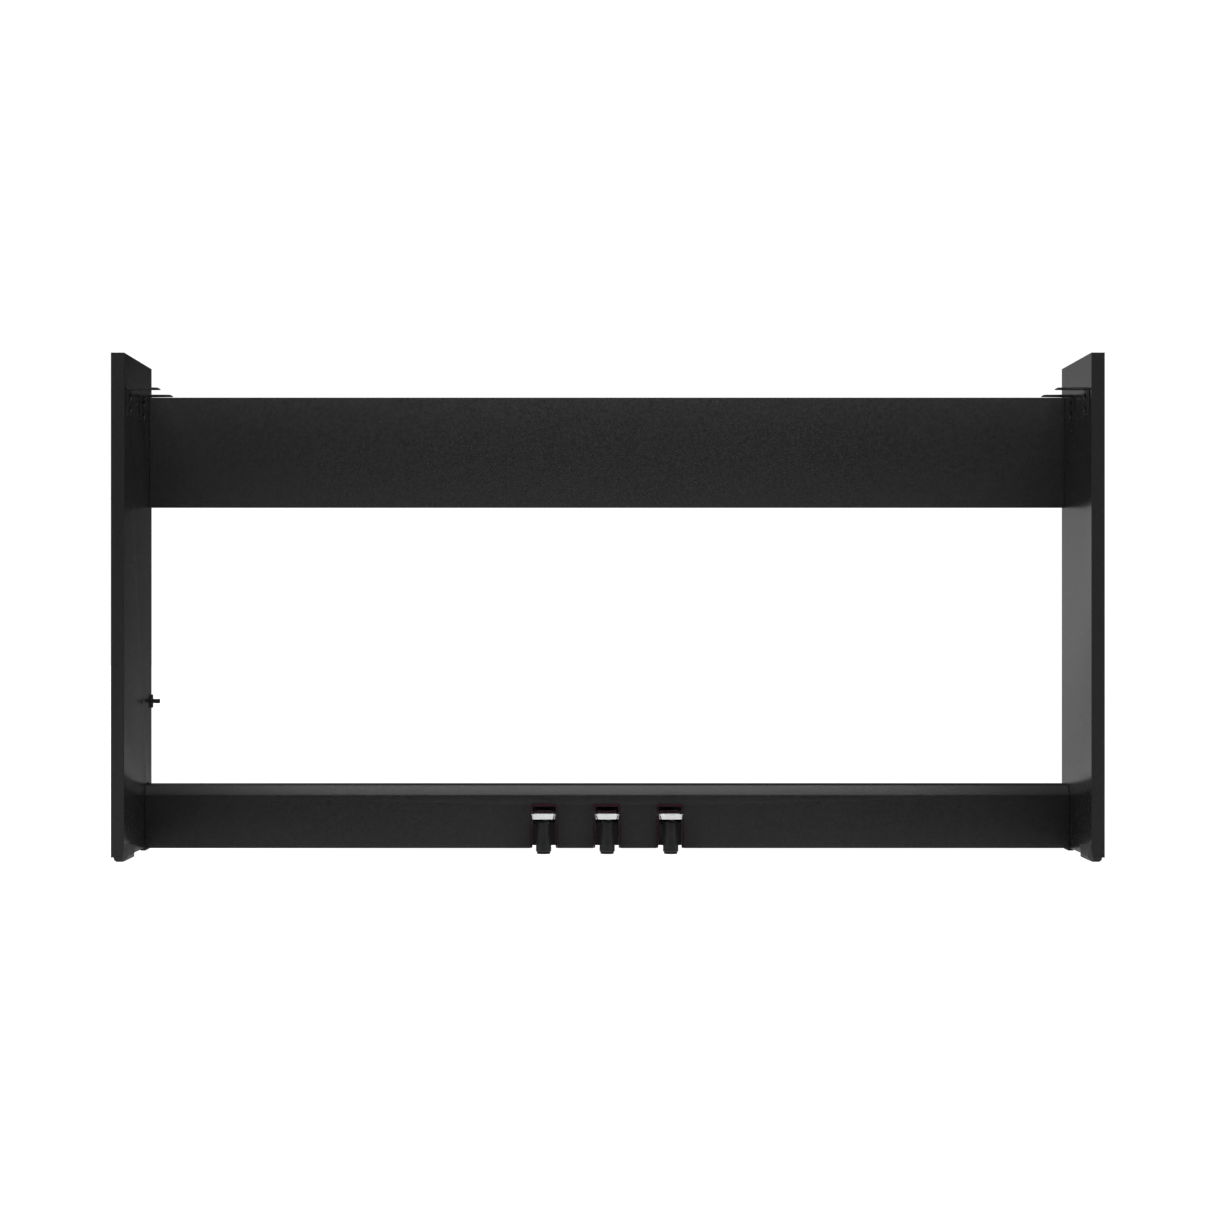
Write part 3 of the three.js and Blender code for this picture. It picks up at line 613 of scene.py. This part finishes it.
for p in PEDALS:
    dress(slot_felt(f"slot_lining_{p}", PEDAL_X[p]), RED_FELT, "root", [f"slot_felt_{p}"])


def felt_strip(name, x0, x1, y0, y1, z0, z1, seed):
    """A strip with rounded long edges, divided every 1.5 mm or so."""
    section = fillet([(y0, z0), (y1, z0), (y1, z1), (y0, z1)], 0.7, 3, closed=True)
    fine = []
    for a, b in zip(section, section[1:] + section[:1]):
        d = math.hypot(b[0] - a[0], b[1] - a[1])
        steps = max(1, int(d / 1.2))
        fine += [(a[0] + (b[0] - a[0]) * k / steps, a[1] + (b[1] - a[1]) * k / steps) for k in range(steps)]
    n, rows = len(fine), int((x1 - x0) / 1.8)
    v = [(x0 + (x1 - x0) * r / rows, y, z) for r in range(rows + 1) for y, z in fine]
    f = [(r * n + i, r * n + (i + 1) % n, (r + 1) * n + (i + 1) % n, (r + 1) * n + i) for r in range(rows) for i in range(n)]
    f += [tuple(range(n)), tuple(rows * n + i for i in reversed(range(n)))]
    return roughen(mesh_object(name, v, f, 60), 0.2, 1.7, seed)


dress(felt_strip("upper_stop", -110, 110, 89, 97, 60.0, 62.6, 3.0), GREY_FELT, "root", ["upper_stop_felt"])
dress(felt_strip("lower_stop", -110, 110, 87.85, 94.75, 39.95, 42.3, 7.0), GREY_FELT, "root", ["lower_stop_felt"])


# ---------------------------------------------------------------- pedals

OUTLINE = [(6, 14.05), (10.5, 14.3), (13.3, 15.0), (15.3, 16.5), (17.3, 18.7), (19.0, 21.2), (20.0, 24), (20.4, 28), (20.5, 36.5), (20.2, 42), (18.9, 47.5), (16.6, 53), (14.0, 58), (12.0, 63), (11.2, 67), (11, 72)]


def catmull(p0, p1, p2, p3, t):
    return tuple(
        0.5 * (2 * b + (c - a) * t + (2 * a - 5 * b + 4 * c - d) * t * t + (-a + 3 * b - 3 * c + d) * t ** 3)
        for a, b, c, d in zip(p0, p1, p2, p3)
    )


def half_outline():
    """The right half of the lever's outline from the middle of the nose to the tail, smooth."""
    pts = [(-6, 14.05), (0, 14.0)] + [tuple(map(float, p)) for p in OUTLINE] + [(11, 80.0)]
    out = []
    for i in range(1, len(pts) - 2):
        for k in range(5):
            out.append(catmull(pts[i - 1], pts[i], pts[i + 1], pts[i + 2], k / 5))
    out += [(11, 72), (11, 77), (11, 84), (11, 92), (11, 100), (11, 108), (11, 116), (11, 122), (11, 125.6)]
    out += [(11 - 1.2 * (1 - math.cos(a)), 126.8 + 1.2 * math.sin(a)) for a in (math.radians(30), math.radians(60), math.radians(90))]
    return out


def ease(t):
    u = min(1.0, max(0.0, t))
    return u * u * (3 - 2 * u)


def pedal_mesh(name, cx):
    half = half_outline()
    ring = [half[0]] + half[1:] + [(-x, y) for x, y in reversed(half[1:])]
    n = len(ring)
    normals = []
    for i in range(n):
        ax, ay = ring[i - 1]
        bx, by = ring[(i + 1) % n]
        l = math.hypot(bx - ax, by - ay)
        normals.append(((by - ay) / l, -(bx - ax) / l))
    tuck = lambda y: 1 - 0.86 * ease((y - 48) / 16)
    rim = lambda y: 48.7 - 2.7 * ease((y - 48) / 16)
    top = 59.6
    # inset and height; the first height follows the rim
    profile = fillet(
        [(3.6, 48.7), (3.2, 48.7), (2.55, 52.2), (1.9, 56.3), (0.2, 57.3), (0.0, 58.8), (0.9, top), (1.6, top)],
        [0, 0.3, 3.0, 0.7, 0.45, 0.8, 0.7, 0],
        4,
    )

    def level(inset, z, extra=0.0):
        out = []
        for i, (x, y) in enumerate(ring):
            d = inset * tuck(y) + extra
            # heights below 52 stretch down to the rim
            zz = z if z > 52 else rim(y) + (z - 48.7) * (52 - rim(y)) / (52 - 48.7)
            out.append((x - normals[i][0] * d, y - normals[i][1] * d, zz))
        return out

    levels = [level(a, z) for a, z in profile]
    v, rows = [], []
    for l in levels:
        rows.append(list(range(len(v), len(v) + n)))
        v += [(cx + x, y, z) for x, y, z in l]
    f = []
    for lo, hi in zip(rows, rows[1:]):
        for i in range(n):
            j = (i + 1) % n
            f.append((lo[i], lo[j], hi[j], hi[i]))

    # inside: wall and ceiling
    inner = []
    for extra, z in ((1.8, 48.9), (2.2, 50.0), (2.2, 54.8), (2.7, 56.3), (3.9, 56.8)):
        inset = 3.2 if z < 52 else 2.6
        row = []
        for i, (x, y) in enumerate(ring):
            d = inset * tuck(y) + min(extra, 2.2) + max(0.0, extra - 2.2)
            zz = z if z > 52 else rim(y) + (z - 48.7) * (52 - rim(y)) / (52 - 48.7)
            row.append((x - normals[i][0] * d, y - normals[i][1] * d, zz))
        inner.append(list(range(len(v), len(v) + n)))
        v += [(cx + x, y, z) for x, y, z in row]
    for i in range(n):
        j = (i + 1) % n
        f.append((rows[0][i], inner[0][i], inner[0][j], rows[0][j]))
    for lo, hi in zip(inner, inner[1:]):
        for i in range(n):
            j = (i + 1) % n
            f.append((lo[i], hi[i], hi[j], lo[j]))

    # caps: rows across from the right half to the left one; the top is crowned at the paddle
    def cap(row, crown):
        across = 10
        lines = []
        for i in range((n - 1) // 2 + 1):
            a, b = row[i], row[(n - i) % n]
            if a == b:
                lines.append([a] * (across + 1))
                continue
            line = [a]
            for k in range(1, across):
                t = k / across
                x = v[a][0] * (1 - t) + v[b][0] * t
                y = v[a][1] * (1 - t) + v[b][1] * t
                z = v[a][2] * (1 - t) + v[b][2] * t
                if crown:
                    z += crown * (1 - (2 * t - 1) ** 2) * ease((y - 14) / 10) * (1 - ease((y - 52) / 16))
                line.append(len(v))
                v.append((x, y, z))
            line.append(b)
            lines.append(line)
        for p, q in zip(lines, lines[1:]):
            for k in range(across):
                quad = [p[k], q[k], q[k + 1], p[k + 1]]
                unique = []
                for w in quad:
                    if w not in unique:
                        unique.append(w)
                if len(unique) > 2:
                    f.append(tuple(unique))

    cap(rows[-1], 0.15)
    cap(inner[-1], 0.0)
    # the paddle's top lies 2.6 mm lower than the neck's
    v = [(x, y, z - 2.6 * (1 - ease((y - 46) / 20)) * min(1.0, max(0.0, (z - 48.7) / (top - 48.7)))) for x, y, z in v]
    ob = mesh_object(name, v, f, 50)
    cut(ob, [rod("t", "x", cx - 20, cx + 20, 122, 52.5, 2.9, 40)])
    return shade(ob, 42)


for p in PEDALS:
    dress(pedal_mesh(f"pedal_lever_{p}", PEDAL_X[p]), CHROME, f"pedal_{p}", [f"pedal_{p}"])


# ---------------------------------------------------------------- chassis, shaft, springs


def spring(name, cx):
    """Helix with closed end coils."""
    r, wire, z0, z1, turns, closed = 6.1, 0.7, 17.55, 55.75, 6.6, 0.9
    steps, sides = int(turns * 30), 10
    v, f = [], []
    centres = []
    for k in range(steps + 1):
        t = turns * k / steps
        a = 2 * math.pi * t
        flat = 1.45 * min(t, closed) + 1.45 * max(0.0, t - (turns - closed))
        mid = min(max(t - closed, 0.0), turns - 2 * closed) / (turns - 2 * closed)
        z = z0 + flat + (z1 - z0 - 2 * 1.45 * closed) * mid
        centres.append(Vector((cx + r * math.cos(a), 104 + r * math.sin(a), z)))
    for k, c in enumerate(centres):
        tangent = (centres[min(k + 1, steps)] - centres[max(k - 1, 0)]).normalized()
        side = tangent.cross(Vector((0, 0, 1))).normalized()
        up = side.cross(tangent)
        for i in range(sides):
            q = 2 * math.pi * i / sides
            w = c + side * (wire * math.cos(q)) + up * (wire * math.sin(q))
            v.append(tuple(w))
    for k in range(steps):
        for i in range(sides):
            j = (i + 1) % sides
            f.append((k * sides + i, k * sides + j, (k + 1) * sides + j, (k + 1) * sides + i))
    f += [tuple(range(sides)), tuple(steps * sides + i for i in reversed(range(sides)))]
    return mesh_object(name, v, f, 50)


for p in PEDALS:
    o = dress(spring(f"spring_{p}", PEDAL_X[p]), STEEL, "root", [f"return_spring_{p}"])
    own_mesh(o)

shaft = lathe("pivot_shaft", fillet([(0, -110), (2.8, -110), (2.8, -106.4), (2.3, -106.4), (2.3, -105.5), (2.8, -105.5), (2.8, 105.5), (2.3, 105.5), (2.3, 106.4), (2.8, 106.4), (2.8, 110), (0, 110)], [0, 0.4, 0, 0, 0, 0, 0, 0, 0, 0, 0.4, 0], 3), segments=40)
move(shaft, Matrix.Translation((0, 0.122, 0.0525)) @ Matrix.Rotation(math.radians(90), 4, "Y"))
dress(shaft, STEEL, "root", ["pedal_shaft"])

carried("pedal_chassis", BLACK_STEEL, 0.5, 2)
carried("box_end_bracket_left", ZINC, 0.5, 2)
carried("box_end_bracket_right", ZINC, 0.5, 2)
carried("switch_board", CIRCUIT, 0.15, 1)
carried("pedal_socket", PLASTIC, 0.5, 3)
pins = [box(f"socket_pin_{i + 1}", -57.0 + 2 * i, -56.2 + 2 * i, 137.2, 143.5, 66.9, 67.4) for i in range(4)]


# ---------------------------------------------------------------- support legs

POST = fillet([(0, 16.5), (8.5, 16.5), (8.5, 45.1), (0, 45.1)], [0, 0.5, 1.5, 0], 5)
CUP = fillet(
    [(0, 5.4), (3.3, 5.4), (3.3, 2.65), (9.7, 2.65), (10.7, 4.3), (10.7, 12), (10.2, 15.5), (9.6, 20), (9.35, 25.5), (8.8, 25.5), (8.8, 8), (0, 8)],
    [0, 0.2, 0.3, 1.4, 1.2, 8, 20, 10, 0.22, 0.22, 0.5, 0],
    6,
)
SOLE = fillet([(0, 0), (8.6, 0), (9.4, 1), (9.4, 2.4), (3, 2.4), (3, 5.1), (0, 5.1)], [0, 0.5, 0.5, 0.4, 0.2, 0.3, 0], 4)


def resampled(profile, step):
    out = [profile[0]]
    for a, b in zip(profile, profile[1:]):
        d = math.hypot(b[0] - a[0], b[1] - a[1])
        k = max(1, int(d / step))
        out += [(a[0] + (b[0] - a[0]) * i / k, a[1] + (b[1] - a[1]) * i / k) for i in range(1, k + 1)]
    return out


def grip(r, z, t):
    """Shallow ribs round the cup's skirt, fading out at both ends."""
    if r < 9.2 or not 5.2 < z < 13.0:
        return r
    fade = ease((z - 5.2) / 1.5) * ease((13.0 - z) / 2.5)
    return r - 0.16 * fade * (0.5 + 0.5 * math.cos(40 * t)) ** 2


def leg_post(name, cx):
    ob = lathe(name, POST, (cx, 30), 72)
    cut(ob, [rod("t", "z", 15, 44.5, cx, 30, 4.7, 40), box("t", cx - 6.3, cx + 6.3, 22.7, 42, 31.2, 39.8)])
    return shade(ob, 35)


def stud(name, cx):
    """A threaded stud, 1.25 mm pitch, with a flange at its foot."""
    base = [(0, 8.25), (7, 8.25), (7, 10.5), (3.9, 10.5)]
    z, rows = 11.0, []
    while z < 37.8:
        rows.append((3.9, z))
        z += 0.156
    prof = base + rows + [(3.9, 38.2), (3.1, 39), (0, 39)]

    def thread(r, z, t):
        if not 10.9 < z < 38.0 or r > 4.2:
            return r
        u = (z / 1.25 - t / (2 * math.pi)) % 1.0
        return 3.25 + 0.62 * (1 - abs(2 * u - 1))

    return lathe(name, prof, (cx, 30), 24, thread, 60)


for p in PEDALS:
    cx = PEDAL_X[p]
    dress(leg_post(f"leg_sleeve_{p}", cx), PLASTIC, "root", [f"leg_post_{p}"])
    dress(lathe(f"leg_foot_cup_{p}", resampled(CUP, 0.8), (cx, 30), 160, grip), PLASTIC, f"adjuster_{p}", [f"leg_cup_{p}"])
    dress(stud(f"leg_screw_{p}", cx), ZINC, f"adjuster_{p}", [f"leg_stud_{p}"])
    dress(lathe(f"leg_pad_{p}", SOLE, (cx, 30), 64), RUBBER, f"sole_{p}", [f"leg_sole_{p}"])


# ---------------------------------------------------------------- instrument brackets, their screws, joining bolts


def angle_bracket(name, s, y0):
    x, top, t, leg, w = -BOARD_HALF, 642.25, BRACKET_T, BRACKET_LEG, BRACKET_W
    pts = [(x, top - 36), (x, top), (x + leg, top), (x + leg, top - t), (x + t, top - t), (x + t, top - 36)]
    pts = fillet(pts, [0, 2.4, 0, 0, 1.2, 0], 8, closed=True)
    pts = [(-s * px, pz) for px, pz in pts]
    ob = prism(name, pts, "y", y0, y0 + w)
    tools = []
    r, q = 3.0, 3.0
    for ya, yb in ((y0, 1), (y0 + w, -1)):
        # the leaf narrows a little towards its free end
        plan = fillet([(9, 0), (leg, 4.8), (leg, 12)], [0, 4.2, 0], 10)
        c = [(-s * (x + leg + 1), ya - yb), (-s * (x + 9), ya - yb)]
        c += [(-s * (x + u), ya + yb * v) for u, v in plan[:-1]]
        c.append((-s * (x + leg + 1), ya + yb * plan[-2][1]))
        tools.append(prism("t", c, "z", top - 5, top + 3))
        d = [(ya - yb, top - 37), (ya + q * yb, top - 37), (ya + q * yb, top - 36)]
        for k in range(1, 9):
            a = k * math.pi / 16
            d.append((ya + q * yb - q * yb * math.sin(a), top - 36 + q - q * math.cos(a)))
        d.append((ya - yb, top - 36 + q))
        tools.append(prism("t", d, "x", *sorted((-s * (x - 1), -s * (x + t + 1)))))
    tools.append(rod("t", "z", top - t - 1, top + 1, -s * (x + 28), y0 + w / 2, 3.5))
    for z in SCREW_Z:
        tools.append(rod("t", "x", *sorted((-s * (x - 1), -s * (x + t + 1))), y0 + SCREW_Y, z, 2.4, 32))
    cut(ob, tools)
    return bevel(ob, 0.22, 2, 38)


def pan_screw(name):
    """Pan-head wood screw along +x from the origin, its head towards +x; cross recess."""
    prof = [(0, -12.5), (0.3, -12.3), (1.2, -9.8)]
    z = -9.5
    k = 0
    while z < -0.9:
        prof.append((1.9 if k % 2 else 1.35, z))
        z += 0.45
        k += 1
    prof += [(1.5, -0.6), (1.7, 0.0)]
    head = fillet([(1.7, 0), (4.2, 0), (4.2, 1.3), (3.2, 2.35), (1.6, 2.6), (0, 2.6)], [0, 0.2, 1.2, 1.6, 1.5, 0], 5)
    ob = lathe(name, prof + head[1:], (0, 0), 40)
    tools = []
    for turn in (0, 1):
        a = [(-2.15, 3.2), (2.15, 3.2), (1.0, 1.1), (-1.0, 1.1)]
        c = prism("t", a, "y", -0.42, 0.42)
        if turn:
            move(c, Matrix.Rotation(math.radians(90), 4, "Z"))
        tools.append(c)
    cut(ob, tools)
    shade(ob, 40)
    return move(ob, Matrix.Rotation(math.radians(90), 4, "Y"))


SCREW_BASE = BOARD_HALF - BRACKET_T - 0.25
screw_master = pan_screw("screw_master")
screw_master.data.materials.append(BLACK_SCREW)
for side, s in (("left", -1), ("right", 1)):
    for row, y0 in BRACKET_Y.items():
        dress(angle_bracket(f"bracket_leaf_{row}_{side}", s, y0), BLACK_STEEL, "root", [f"bracket_{row}_{side}"])
        for at, z in zip(("lower", "upper"), SCREW_Z):
            turn = (0.4 if at == "lower" else 1.1) + (0.3 if row == "rear" else 0.0)
            c = copy_of(screw_master, f"screw_{row}_{side}_{at}", (s * SCREW_BASE, y0 + SCREW_Y, z))
            c.matrix_world = Matrix.Translation((s * SCREW_BASE * MM, (y0 + SCREW_Y) * MM, z * MM)) @ Matrix.Rotation(math.pi if s > 0 else 0.0, 4, "Z") @ Matrix.Rotation(turn, 4, "X")
            dress(c, None, "root", [f"bracket_screw_{row}_{side}_{at}"])
bpy.data.objects.remove(screw_master)


def socket_bolt(name, length):
    """Socket-head bolt, its head at x = 0 facing -x and its shank towards +x."""
    prof = [(0, -length), (2.2, -length), (2.9, -length + 1.4)]
    z = -length + 1.8
    k = 0
    while z < -length + 20 and z < -5:
        prof.append((3.0 if k % 2 else 2.55, z))
        z += 0.5
        k += 1
    prof += [(3.0, -4.0), (3.0, -2.9)]
    head = fillet([(3.0, -2.9), (5.0, -2.9), (5.0, 0), (0, 0)], [0, 0.3, 0.7, 0], 5)
    ob = lathe(name, prof + head[1:], (0, 0), 48)
    hexagon = rod("t", "z", -2.2, 1, 0, 0, 2.45, 6)
    cut(ob, [hexagon])
    shade(ob, 35)
    return move(ob, Matrix.Rotation(math.radians(-90), 4, "Y"))


long_bolt, short_bolt = socket_bolt("long_bolt", 57.0), socket_bolt("short_bolt", 25.5)
for b in (long_bolt, short_bolt):
    b.data.materials.append(BLACK_SCREW)
for side, s in (("left", -1), ("right", 1)):
    for what, places, master in (("board", BOARD_BOLTS, long_bolt), ("box", BOX_BOLTS, short_bolt)):
        for at, (y, z) in zip(("lower", "upper"), places):
            c = copy_of(master, f"joining_bolt_{what}_{side}_{at}")
            c.matrix_world = Matrix.Translation((s * 670.8 * MM, y * MM, z * MM)) @ Matrix.Rotation(math.pi if s > 0 else 0.0, 4, "Z") @ Matrix.Rotation(0.2 + y * 0.01 + z * 0.02, 4, "X")
            dress(c, None, "root", [f"bolt_{what}_{side}_{at}"])
for b in (long_bolt, short_bolt):
    bpy.data.objects.remove(b)


# ---------------------------------------------------------------- feet, clip, socket contacts

for side in ("left", "right"):
    # the feet take the lighter plastic, which paints in light from the floor below
    carried(f"foot_front_{side}", FOOT_PAINTED_LIT, 0.7, 3, 20)
    carried(f"foot_rear_{side}", FOOT_PAINTED_LIT, 0.7, 3, 20)
carried("cable_clip", PLASTIC, 0.6, 3, 40)
for o in pins:
    bevel(o, 0.12, 2)
    dress(o, STEEL, "root")


# ---------------------------------------------------------------- floor and light

floor_me = bpy.data.meshes.new("floor")
floor_me.from_pydata([(-30, -30, -0.0004), (30, -30, -0.0004), (30, 30, -0.0004), (-30, 30, -0.0004)], [], [(0, 1, 2, 3)])
floor = bpy.data.objects.new("floor", floor_me)
scene.collection.objects.link(floor)
fm, fnt, fb = node_mat("pale_floor")
fn = tex(fnt, "ShaderNodeTexNoise", 3.0, 2.0)
fcol = ramp(fnt, fn.outputs["Fac"], [(0.3, (0.80, 0.80, 0.80)), (0.7, (0.82, 0.82, 0.82))])
fnt.links.new(fcol.outputs["Color"], fb.inputs["Base Color"])
fb.inputs["Roughness"].default_value = 0.08
fb.inputs["Specular IOR Level"].default_value = 0.5
fb.inputs["Emission Color"].default_value = (1, 1, 1, 1)
floor.data.materials.append(fm)

# Strengths of the room's light by direction, of the floor's own glow, and of the soft boxes.
LIGHT = {"room": 0.034, "back": 0.080, "back_left": 0.37, "floor": 0.17, "overhead": 58.0, "left": 14.0, "right": 14.0}
FLOOR_SEEN = 0.98

flp = fnt.nodes.new("ShaderNodeLightPath")
fxyz = fnt.nodes.new("ShaderNodeSeparateXYZ")
fnt.links.new(fnt.nodes["coords"].outputs["Object"], fxyz.inputs["Vector"])
near = remap(fnt, fxyz.outputs["Y"], LIGHT["floor"], LIGHT["floor"] * 0.3, 0.6, 2.5)
seen = maths(fnt, "MULTIPLY", flp.outputs["Is Camera Ray"], FLOOR_SEEN)
unseen = maths(fnt, "MULTIPLY", maths(fnt, "SUBTRACT", 1.0, flp.outputs["Is Camera Ray"]).outputs[0], near.outputs["Result"])
fs = maths(fnt, "ADD", seen.outputs[0], unseen.outputs[0])
fnt.links.new(fs.outputs[0], fb.inputs["Emission Strength"])

world = bpy.data.worlds.new("studio")
scene.world = world
world.use_nodes = True
wt = world.node_tree
wt.nodes.clear()
out = wt.nodes.new("ShaderNodeOutputWorld")
mixw = wt.nodes.new("ShaderNodeMixShader")
lp = wt.nodes.new("ShaderNodeLightPath")
white = wt.nodes.new("ShaderNodeBackground")
white.inputs["Color"].default_value = (1, 1, 1, 1)
white.inputs["Strength"].default_value = 1.05
room = wt.nodes.new("ShaderNodeBackground")
room.inputs["Color"].default_value = (1, 1, 1, 1)
direction = wt.nodes.new("ShaderNodeTexCoord")
axes = wt.nodes.new("ShaderNodeSeparateXYZ")
wt.links.new(direction.outputs["Generated"], axes.inputs["Vector"])
towards_back = remap(wt, axes.outputs["Y"], 0.0, 1.0)
leftwards = remap(wt, axes.outputs["X"], 0.0, LIGHT["back_left"], -0.05, -0.11)
low = remap(wt, axes.outputs["Z"], 1.0, 0.25, 0.0, 0.15)
back2 = maths(wt, "POWER", towards_back.outputs[0], 2.0)
behind = maths(wt, "MULTIPLY", maths(wt, "ADD", leftwards.outputs[0], LIGHT["back"]).outputs[0], low.outputs[0])
behind = maths(wt, "MULTIPLY", behind.outputs[0], back2.outputs[0])
around = maths(wt, "MULTIPLY", maths(wt, "SUBTRACT", 1.0, back2.outputs[0]).outputs[0], LIGHT["room"])
total = maths(wt, "ADD", behind.outputs[0], around.outputs[0])
wt.links.new(total.outputs[0], room.inputs["Strength"])
wt.links.new(lp.outputs["Is Camera Ray"], mixw.inputs["Fac"])
wt.links.new(room.outputs["Background"], mixw.inputs[1])
wt.links.new(white.outputs["Background"], mixw.inputs[2])
wt.links.new(mixw.outputs["Shader"], out.inputs["Surface"])


def softbox(name, at, aim, size, power):
    if power <= 0:
        return None
    l = bpy.data.lights.new(name, "AREA")
    l.shape = "RECTANGLE"
    l.size, l.size_y = size
    l.energy = power
    o = bpy.data.objects.new(name, l)
    scene.collection.objects.link(o)
    o.location = at
    o.rotation_mode = "QUATERNION"
    o.rotation_quaternion = (Vector(aim) - Vector(at)).to_track_quat("-Z", "Y")
    o.visible_camera = False
    return o


softbox("overhead", (0.0, -0.9, 2.6), (0, 0.05, 0.1), (3.0, 1.2), LIGHT["overhead"])
softbox("from_left", (-3.0, -1.0, 1.4), (0.5, 0.1, 0.3), (1.6, 2.0), LIGHT["left"])
softbox("from_right", (3.0, -1.0, 1.4), (-0.5, 0.1, 0.3), (1.6, 2.0), LIGHT["right"])
